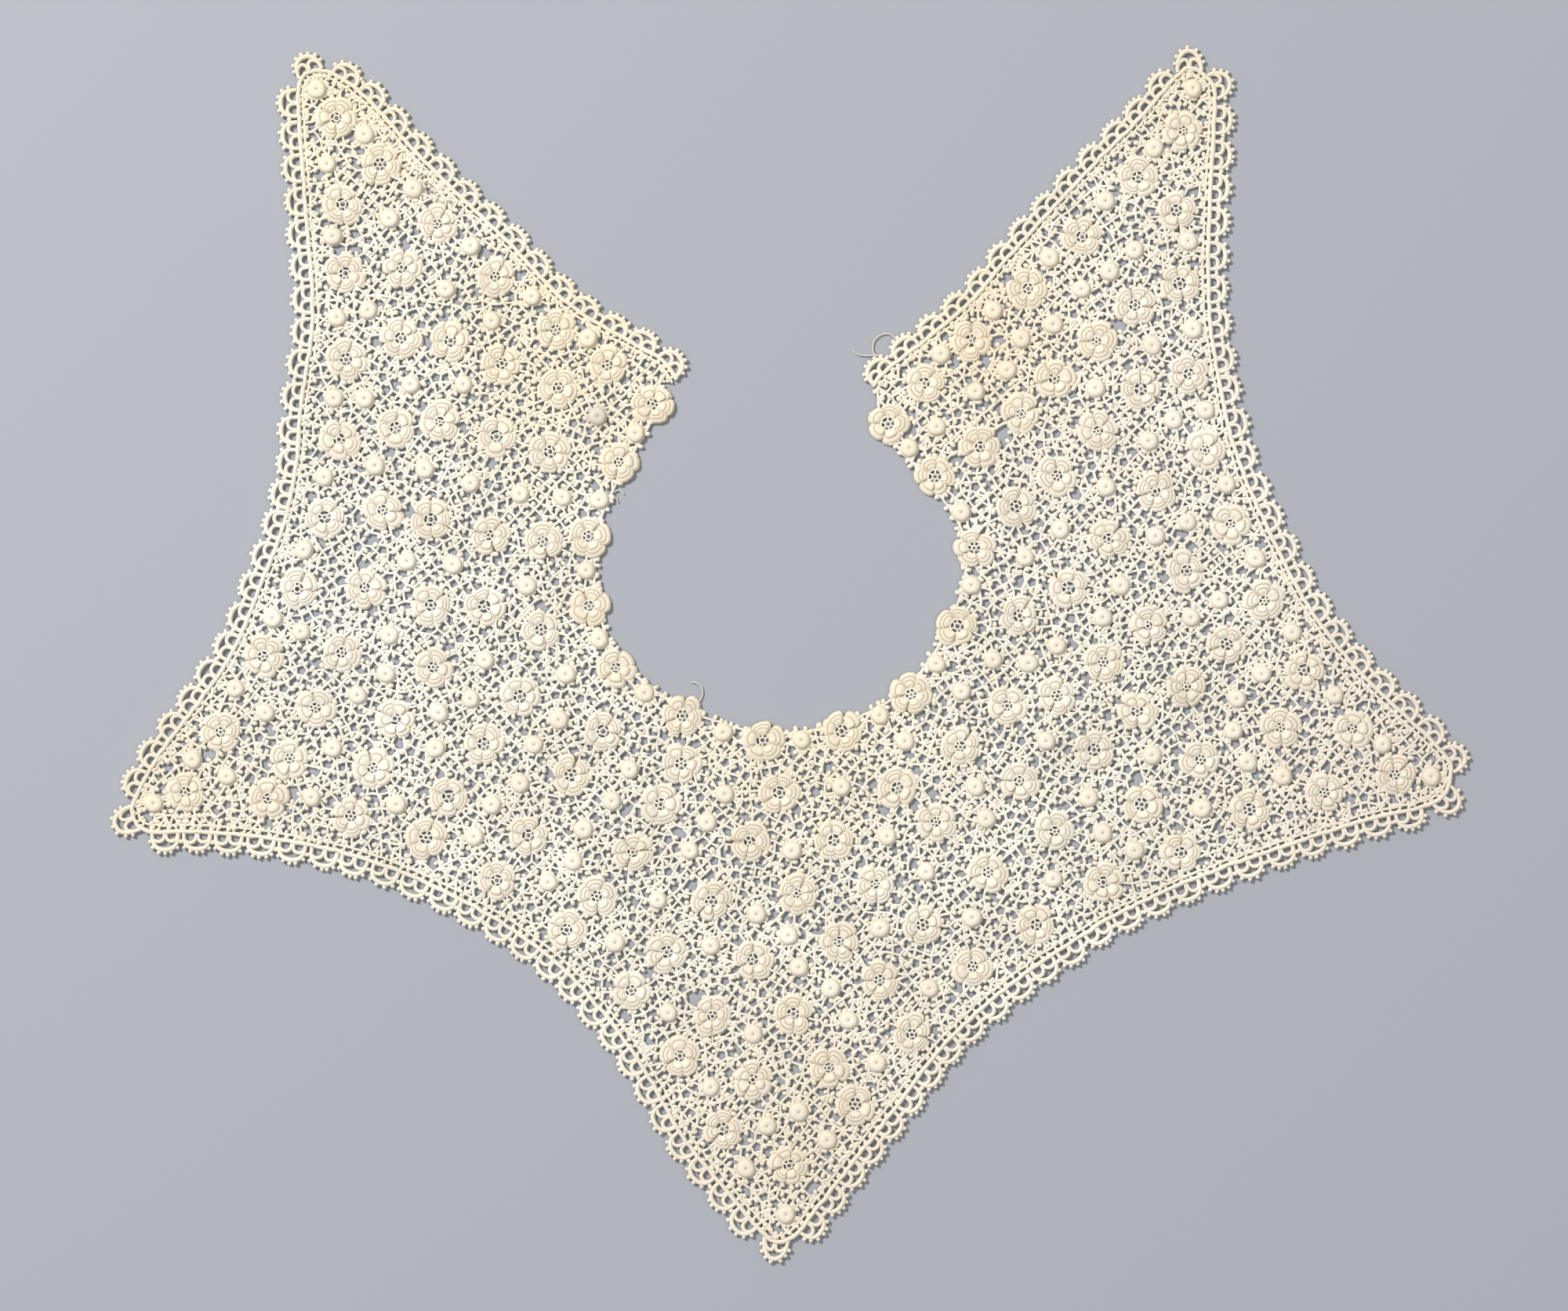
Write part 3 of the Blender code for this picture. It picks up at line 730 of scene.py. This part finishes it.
def petal(angle, count, eye, reach, profile, lean):
    """One padded petal's points round its rose's middle, in rows from foot to rim, with painted shade and
    stitches.
    """
    share, height, crease = np.array(profile).T
    share = share[:, None] ** DRAW.uniform(0.85, 1.18)
    turn = np.linspace(-math.pi / 2, math.pi / 2, PETAL_SIDES + 1)
    out = np.abs(np.cos(turn)) ** PETAL_FULLNESS
    aside = np.sign(turn) * np.abs(np.sin(turn)) ** PETAL_FULLNESS
    foot = eye * (0.55 if DRAW.random() < 0.05 else DRAW.uniform(0.88, 1.05))
    phases = DRAW.uniform(0, MOST_TURN, (PETAL_WAVES, 1))
    waves = np.cos(np.arange(1, PETAL_WAVES + 1)[:, None] * turn + phases)
    rim = (reach - foot) * (1 + DRAW.normal(0, 0.05) * aside)
    rim = rim + DRAW.normal(0, WAVE_HEIGHT, PETAL_WAVES) @ waves
    away = foot + share * out * rim
    half = math.pi / count
    theta = share**PETAL_SPREAD * aside * half * DRAW.uniform(1.14, 1.26) + DRAW.normal(0, 0.05) * share
    border = np.clip(np.abs(theta) / half, 0, 1) ** 7
    low, high = PETAL_HEIGHT
    slope = np.clip((away - foot) / 3, 0, 1)
    slope = 0.45 + 0.55 * slope * (2 - slope)
    full = height[:, None] * slope * (1 - 0.3 * border) * (1 + lean * theta / half) * DRAW.uniform(0.84, 0.94)
    x, y = away * np.cos(angle + theta), away * np.sin(angle + theta)
    points = np.stack([x, y, low + (high - low) * full], axis=-1)
    # Painted shade in the profile's creases past the foot, and along the sides where petals meet
    painted_shade = np.maximum(crease[:, None] * (away > foot + 1), 0.5 * border)
    stitches = np.broadcast_to(turn / math.pi * PETAL_STITCHES * WHOLE_TURN, painted_shade.shape)
    return points.reshape(-1, 3), painted_shade.ravel(), stitches.ravel()


def squashed(points, middle):
    """Points round a motif's middle, drawn out one way and in the other by a little."""
    angle, draw = DRAW.uniform(0, math.pi), DRAW.normal(1, 0.025)
    turn = np.array([[math.cos(angle), -math.sin(angle)], [math.sin(angle), math.cos(angle)]])
    points[:, :2] = points[:, :2] @ (turn @ np.diag([draw, 1 / draw]) @ turn.T) + middle
    return points


def yellowed(middle):
    """How much more a motif has yellowed that stands in the row at the neck."""
    away = np.linalg.norm(smooth_line(NECK_ROW.through) - middle, axis=1).min()
    return NECK_TONE if away < NECK_NEAR else 0


def rose_petals(roses, eyes, name):
    """All the padded petals, five or six to a rose."""
    points, creases, stitches, tones, faces = [], [], [], [], []
    start = 0
    for rose, eye in zip(roses, eyes):
        count = 6 if DRAW.random() < SIX_PETALS else 5
        turn = DRAW.uniform(0, MOST_TURN)
        size = ROSE_RADIUS * DRAW.uniform(0.98, 1.04)
        lean = DRAW.choice((-1, 1)) * DRAW.uniform(0.05, 0.2)
        tone = DRAW.uniform(0, 0.85) + yellowed(rose)
        whole = []
        for k in range(count):
            angle = turn + WHOLE_TURN * (k + DRAW.normal(0, 0.035)) / count
            profile = THREE_ROUNDS if DRAW.random() < MANY_ROUNDS else TWO_ROUNDS
            shell, crease, stitch = petal(angle, count, eye, size * DRAW.uniform(0.91, 1.04), profile, lean)
            whole.append(shell)
            creases.append(crease)
            stitches.append(stitch)
            tones.append(np.full(len(shell), np.clip(tone + DRAW.normal(0, 0.12), 0, 2)))
            faces.append(grid_faces(len(profile), PETAL_SIDES + 1, 1) + start)
            start += len(shell)
        points.append(squashed(np.vstack(whole), rose))
    return from_points(name, np.vstack(points), np.vstack(faces), crease=np.concatenate(creases),
                       stitch=np.concatenate(stitches), tone=np.concatenate(tones))


def rose_middles(roses, eyes):
    """The openwork in each rose's eye, and the flat back that its petals are worked on, painted with crease
    shade.
    """
    lines = []
    backs = []
    for rose, eye in zip(roses, eyes):
        turn = DRAW.uniform(0, MOST_TURN)
        spokes = 6 if DRAW.random() < 0.65 else 5
        middle = rose + DRAW.normal(0, 0.22, 2)
        inner = eye * DRAW.uniform(0.34, 0.5)
        for radius, height, thick, count in ((eye + 0.25, 1.1, 0.46, 13), (inner, 1.4, 0.38, 8)):
            loop = closed_ring(middle, radius, height, count, turn)
            lines.append(np.column_stack([loop, np.full(len(loop), thick)]))
        for way in ways(turn + (np.arange(spokes) + DRAW.normal(0, 0.13, spokes)) * WHOLE_TURN / spokes):
            a, b = middle + inner * way, middle + (eye + 0.3) * way
            lines.append(np.array([(*a, 1.4, DRAW.uniform(0.32, 0.42)), (*b, 1.1, DRAW.uniform(0.36, 0.46))]))
        for radius, height in ((eye + 0.2, 1.0), (eye + 0.2, 0.15), *BACK_RINGS):
            backs.append(closed_ring(rose, radius, height, BACK_SIDES))
    points = np.vstack(backs)
    faces = grid_faces(2 + len(BACK_RINGS), BACK_SIDES + 1, len(roses))
    # Painted shade: the backs are brown all over, where they lie in the petals' shade
    backing = from_points("rose_backs", points, faces, crease=np.ones(len(points)))
    return cords("rose_middles", lines), backing


def button_domes(buttons):
    """The padded rings that are worked over till their middles close."""
    share, height, depth = np.array(BUTTON_PROFILE).T
    angles = np.linspace(0, WHOLE_TURN, BUTTON_SIDES + 1)
    points, tones = [], []
    for button in buttons:
        turn = DRAW.uniform(0, MOST_TURN)
        size = BUTTON_RADIUS * DRAW.uniform(0.94, 1.04)
        tilt = DRAW.normal(0, 0.03, 2)
        wavy = 1 + 0.02 * np.cos(3 * angles + DRAW.uniform(0, MOST_TURN)) + 0.015 * np.cos(5 * angles)
        x = size * share[:, None] * np.cos(angles + turn) * wavy
        y = size * share[:, None] * np.sin(angles + turn) * wavy
        lift = np.clip(height[:, None] - 1, 0, 1) * (tilt[0] * x + tilt[1] * y)
        z = height[:, None] * DRAW.uniform(0.92, 0.98) + lift
        points.append(squashed(np.stack([x, y, z], axis=-1).reshape(-1, 3), button))
        tones.append(np.full(x.size, DRAW.uniform(0.2, 0.85) + yellowed(button)))
    faces = grid_faces(len(share), len(angles), len(points))
    # Painted shade from the profile's depth column: in the dimple, inside the rim and at the foot
    crease = np.tile(np.repeat(depth, len(angles)), len(points))
    stitch = np.tile(angles * BUTTON_STITCHES, len(share) * len(points))
    return from_points("button_domes", np.vstack(points), faces[:, ::-1], crease=crease, stitch=stitch,
                       tone=np.concatenate(tones))


# The edging


def cross_cords(edge, outwards, scallops):
    """The short cords between the braid's two long ones, and the two picots on each.

    Each row of nubbed has a picot's root, its direction, and its length, half width and half height.
    """
    lines, nubbed = [], []
    for mark in np.arange(1.5, distances_along(edge)[-1], CROSS_SPACE):
        mark += DRAW.uniform(-0.5, 0.5)
        span = at_distances(edge, np.hstack([edge, outwards]), np.array([mark]))[0]
        rise = braid_rise(scallops, [mark])[0]
        a, b = span[:2] + (rise - 0.6) * span[2:], span[:2] + (0.5 * rise - BRAID_INNER) * span[2:]
        lines.append(np.array([(*a, 0.9, CROSS_RADIUS), (*b, 0.8, CROSS_RADIUS)]))
        nubbed.append((*((a + b) / 2), 1.1, DRAW.uniform(0, MOST_TURN), DRAW.uniform(1.5, 2.1), 0.9, 0.7))
        heading = math.atan2(-span[3], -span[2]) + DRAW.normal(0, 0.5)
        nubbed.append((*b, 0.9, heading, DRAW.uniform(1.6, 2.3), 0.85, 0.65))
    return lines, nubbed


def scallop(edge, outwards, scallops, number):
    """One scallop's two inner arches and its outer arc, and the picots round the arc."""
    middle, width, depth = scallops[number]
    facing = scallop_facing(edge, outwards, middle)
    half = min(SCALLOP_HALF_WIDTH, width / 2 - SEAM) - ARC_RADIUS
    skew = DRAW.normal(0, 0.25)
    rise = float(braid_rise(scallops, [middle])[0, 0])
    depth -= rise

    def worked(x, y, height, thick):
        places = at_distances(edge, edge, middle + x) + np.outer(y, facing)
        return np.column_stack([places, height, thick])

    lines, nubbed = [], []
    turn = np.linspace(0, math.pi, 9)
    for side in (-1, 1):
        foot, near = side * (half - 0.1), side * 0.3 + skew
        x = (foot + near) / 2 + (foot - near) / 2 * np.cos(turn)
        y = rise - 0.2 + (ARCH_SHARE * depth + 0.2) * DRAW.uniform(0.86, 1.14) * np.sin(turn) ** 0.6
        lines.append(worked(x, y, 0.95 + 0.1 * np.sin(turn), 0.78 + 0.1 * np.sin(turn)))
    turn = np.linspace(0, math.pi, 15)
    cosine, sine = np.cos(turn), np.sin(turn)
    reach = depth - PICOT_PROUD - ARC_RADIUS + DRAW.normal(0, 0.15)
    x = -half * np.sign(cosine) * np.abs(cosine) ** 0.88 + skew
    arc = worked(x, rise - 0.1 + (reach + 0.1) * sine ** 0.7, np.full(len(turn), 1.05), 0.84 + 0.24 * sine)
    lines.append(arc)
    length = distances_along(arc[:, :2])[-1]
    pegs = DRAW.choice((6, 7, 7))
    for mark in np.linspace(0.15, 0.85, pegs) * length + DRAW.normal(0, 0.12, pegs):
        before, at, after = at_distances(arc[:, :2], arc[:, :2], mark + np.array([-0.5, 0, 0.5]))
        way = after - before
        away = np.array([way[1], -way[0]]) / np.linalg.norm(way)
        heading = math.atan2(away[1], away[0]) + DRAW.normal(0, 0.14)
        size = DRAW.uniform(0.9, 1.08)
        root = (*(at + 0.25 * away), DRAW.uniform(0.9, 1.1))
        nubbed.append((*root, heading, (PICOT_PROUD + 0.85) * size, 0.95 * size, 0.9))
    return lines, nubbed


def edging_cords(edge, outwards, scallops):
    """The braid's two cords, and each scallop on them."""
    length = distances_along(edge)[-1]
    marks = np.linspace(0, length, round(length / CORD_STEP))
    out = at_distances(edge, outwards, marks)
    lines, nubbed = cross_cords(edge, outwards, scallops)
    for inset, share, height, thick in BRAID_CORDS:
        cord = at_distances(edge, edge, marks) + (share * braid_rise(scallops, marks) - inset) * out
        cord += DRAW.normal(0, 0.17, cord.shape)
        wander = DRAW.uniform(0.87, 1.1, len(cord))
        lines.append(np.column_stack([cord, np.full(len(cord), height), thick * wander]))
    for number in range(len(scallops)):
        cords_here, nubbed_here = scallop(edge, outwards, scallops, number)
        lines += cords_here
        nubbed += nubbed_here
    nubbed = np.array(nubbed)
    return cords("edging_cords", lines), nubs("edging_picots", nubbed[:, :3], nubbed[:, 3], nubbed[:, 4:])


# Materials


Spot = namedtuple("Spot", "name x y reach strength colour")
SPOTS = (  # where the cotton has yellowed or stayed pale, in the frame's millimetres
    Spot("left of the neck", -92, 132, 75, 0.6, (0.80, 0.67, 0.45)),
    Spot("right of the neck", 84, 135, 70, 0.7, (0.81, 0.66, 0.45)),
    Spot("middle of the neck", 12, -36, 65, 0.5, (0.80, 0.68, 0.47)),
    Spot("front point", 4, -215, 95, 0.85, (0.73, 0.63, 0.48)),
    Spot("left back point", -190, 245, 78, 0.85, (0.75, 0.65, 0.46)),
    Spot("right back point", 174, 252, 90, 0.7, (0.75, 0.64, 0.46)),
    Spot("left shoulder point", -284, -55, 95, 0.8, (0.73, 0.64, 0.48)),
    Spot("right shoulder point", 280, -55, 125, 0.75, (0.72, 0.62, 0.50)),
    Spot("right side", 164, 90, 110, 0.3, (0.86, 0.77, 0.67)),
    Spot("left side", -190, 20, 90, 0.35, (0.84, 0.82, 0.76)),
    Spot("greyed button", -81.6, 101.5, 7, 1.4, (0.50, 0.46, 0.39)),
)
# Painted shade: the brown mixed in low down, and the brown mixed into creases
PAINTED_LOW_SHADE = (0.30, 0.25, 0.18)
PAINTED_CREASE_SHADE = (0.36, 0.27, 0.16)
# The cream that yellowed motifs turn to
YELLOWED_CREAM = (0.79, 0.685, 0.51)


def made(tree, kind, inputs=(), **settings):
    """The outputs of a new node. Each of its inputs is given by name or number, with a link or a value."""
    node = tree.nodes.new("ShaderNode" + kind)
    for name, setting in settings.items():
        setattr(node, name, setting)
    for name, value in inputs:
        if isinstance(value, bpy.types.NodeSocket):
            tree.links.new(value, node.inputs[name])
        else:
            node.inputs[name].default_value = value
    return node.outputs


def mixed(tree, factor, colour, other):
    """A colour mixed with another by a factor."""
    inputs = (("Factor", factor), ("A", colour), ("B", (*other, 1)))
    return made(tree, "Mix", inputs, data_type="RGBA")["Result"]


def ranged(tree, value, lowest, highest, first, last):
    """A value from lowest to highest made into one from first to last."""
    inputs = zip(("Value", "From Min", "From Max", "To Min", "To Max"), (value, lowest, highest, first, last))
    return made(tree, "MapRange", inputs)["Result"]


def noise(tree, place, scale, detail, roughness):
    """Noise from 0 to 1 over a place."""
    inputs = (("Vector", place), ("Scale", scale), ("Detail", detail), ("Roughness", roughness))
    return made(tree, "TexNoise", inputs)["Fac"]


def carried(tree, name):
    """A number that a piece's mesh carries at its points."""
    return made(tree, "Attribute", attribute_name=name)["Fac"]


def painted(name, inputs):
    """A new material and its shader, with values for some of the shader's inputs."""
    material = bpy.data.materials.new(name)
    material.use_nodes = True
    shader = material.node_tree.nodes["Principled BSDF"]
    for socket, value in inputs.items():
        shader.inputs[socket].default_value = value
    return material, shader


def cotton(name, dark, light, stitched, tone_and_painted_shade=False):
    """Crochet cotton: creams that change from place to place, painted shade low down, with stitches in its
    bump.
    """
    inputs = {"Specular IOR Level": 0.25, "Sheen Weight": 0.25, "Sheen Roughness": 0.6}
    material, shader = painted(name, inputs)
    tree = material.node_tree
    place = made(tree, "TexCoord")["Object"]
    broad = noise(tree, place, 28, 5, 0.65)
    tree.links.new(ranged(tree, broad, 0.3, 0.7, 0.95, 0.8), shader.inputs["Roughness"])
    ramp = tree.nodes.new("ShaderNodeValToRGB")
    for stop, position, colour in zip(ramp.color_ramp.elements, (0.3, 0.68), (dark, light)):
        stop.position = position
        stop.color = (*colour, 1)
    tree.links.new(broad, ramp.inputs["Fac"])
    height = made(tree, "SeparateXYZ", [("Vector", place)])["Z"]
    # Painted shade: darker and browner below 1.4 mm, where the threads lie in each other's shade
    low = ranged(tree, height, 0.2 * MM, 1.4 * MM, 0.6, 0.0)
    colour = mixed(tree, low, ramp.outputs["Color"], PAINTED_LOW_SHADE)
    for spot in SPOTS:
        inputs = ((0, place), (1, (spot.x * MM, spot.y * MM, 0)))
        away = made(tree, "VectorMath", inputs, operation="DISTANCE")["Value"]
        near = ranged(tree, away, 0.0, spot.reach * MM, spot.strength, 0.0)
        colour = mixed(tree, near, colour, spot.colour)
    if tone_and_painted_shade:
        tone = ranged(tree, carried(tree, "tone"), 0.0, 2.0, 0.0, 1.0)
        colour = mixed(tree, tone, colour, YELLOWED_CREAM)
        # Painted shade: brown mixed in by the crease shade that the padded pieces carry
        crease = ranged(tree, carried(tree, "crease"), 0.0, 1.0, 0.0, 0.8)
        colour = mixed(tree, crease, colour, PAINTED_CREASE_SHADE)
    tree.links.new(colour, shader.inputs["Base Color"])
    wave = made(tree, "Math", [(0, carried(tree, "stitch"))], operation="SINE")["Value"]
    inputs = ((0, wave), (1, stitched), (2, noise(tree, place, 2400, 3, 0.55)))
    rough = made(tree, "Math", inputs, operation="MULTIPLY_ADD")["Value"]
    bump = made(tree, "Bump", (("Strength", 0.5), ("Distance", 0.24 * MM), ("Height", rough)))["Normal"]
    tree.links.new(bump, shader.inputs["Normal"])
    return material


# The studio


def floor():
    """The pale floor, just under the collar."""
    bpy.ops.mesh.primitive_plane_add(size=6, location=(0, 0, FLOOR_HEIGHT * MM))
    ground = bpy.context.object
    ground.name = "floor"
    grey, _ = painted("floor_grey", {"Base Color": (0.35, 0.36, 0.38, 1), "Roughness": 0.9})
    ground.data.materials.append(grey)


def lamp(name, place, size, power):
    """A round soft light that shines on the collar's middle."""
    data = bpy.data.lights.new(name, "AREA")
    data.shape = "DISK"
    data.size = size
    data.energy = power
    thing = link(bpy.data.objects.new(name, data))
    thing.location = place
    thing.rotation_euler = (-thing.location).to_track_quat("-Z", "Y").to_euler()


def studio():
    """The floor, two lamps and an even pale sky."""
    floor()
    lamp("key", (-2.2, 2.0, 2.9), 0.7, 180)
    lamp("fill", (2.4, -1.0, 3.0), 2.4, 20)
    world = bpy.data.worlds.new("studio")
    bpy.context.scene.world = world
    world.use_nodes = True
    sky = world.node_tree.nodes["Background"]
    sky.inputs["Color"].default_value = (0.9, 0.93, 1.0, 1)
    sky.inputs["Strength"].default_value = 0.5
    bpy.context.scene.view_settings.view_transform = "Standard"


def camera():
    """A camera that looks straight down."""
    data = bpy.data.cameras.new("camera")
    data.sensor_width = SENSOR_WIDTH
    data.lens = SENSOR_WIDTH * CAMERA_HEIGHT / VIEW_WIDTH
    data.clip_end = 20
    thing = link(bpy.data.objects.new("camera", data))
    thing.location = (*((np.array(VIEW_MIDDLE) - SHIFT) * MM), CAMERA_HEIGHT * MM)
    bpy.context.scene.camera = thing


# Putting it together

edge, outwards, scallops = scallop_line()
rims = scallop_rims(edge, outwards, scallops)
SHIFT = (rims.min(axis=0) + rims.max(axis=0)) / 2
outline, roses, buttons, gaps = layout(edge, outwards)

knots, owners = net_knots(outline, edge, outwards, scallops, roses, buttons, gaps)
bars = net_bars(knots, owners, outline, gaps)
net_lines = net(knots, bars)
net_piece = cords("net", [*net_lines, neck_cord(), *thread_ends()])
left = roses[:, 0] < HALVES_MEET
eyes = DRAW.uniform(*EYES, len(roses))
middle_piece, back_piece = rose_middles(roses, eyes)
cord_piece, nub_piece = edging_cords(edge, outwards, scallops)
spots = picot_places(net_lines, gaps)
neck_spots = neck_line(NECK_CORD)[1::3]
neck_turns = np.arctan2(*left_of(neck_spots).T[::-1]) + DRAW.normal(0, 0.5, len(neck_spots))
spots = np.vstack([spots, np.column_stack([neck_spots, neck_turns])])
far_left = spots[:, 0] < np.median(spots[:, 0])
WORKED = (
    picots(spots[far_left], "picots_left"),
    picots(spots[~far_left], "picots_right"),
    folded_edge(),
)
PADDED = (
    rose_petals(roses[left], eyes[left], "rose_petals_left"),
    rose_petals(roses[~left], eyes[~left], "rose_petals_right"),
    middle_piece,
    back_piece,
    button_domes(buttons),
)

NET_COTTON = cotton("net_cotton", (0.74, 0.69, 0.57), (0.885, 0.84, 0.725), 0.12)
# Painted shade: the net's cotton made darker and warmer, as picots look where they lie lower, in shade
SHADED_PICOT_COTTON = cotton("shaded_picot_cotton", (0.69, 0.62, 0.48), (0.85, 0.79, 0.65), 0)
PADDED_COTTON = cotton("padded_cotton", (0.70, 0.63, 0.51), (0.85, 0.80, 0.67), 0.05, tone_and_painted_shade=True)
EDGING_COTTON = cotton("edging_cotton", (0.72, 0.65, 0.52), (0.87, 0.81, 0.67), 0.12)
PIECES = (
    (net_piece, NET_COTTON, "ground"),
    *((piece, SHADED_PICOT_COTTON, "ground") for piece in WORKED),
    *((piece, PADDED_COTTON, "ground") for piece in PADDED),
    (cord_piece, EDGING_COTTON, "edging"),
    (nub_piece, EDGING_COTTON, "edging"),
)
for piece, material, slot in PIECES:
    piece.data.materials.clear()
    piece.data.materials.append(material)
    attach(piece, "root")
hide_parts("ground")
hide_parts("edging")

studio()
camera()
bpy.context.view_layer.update()
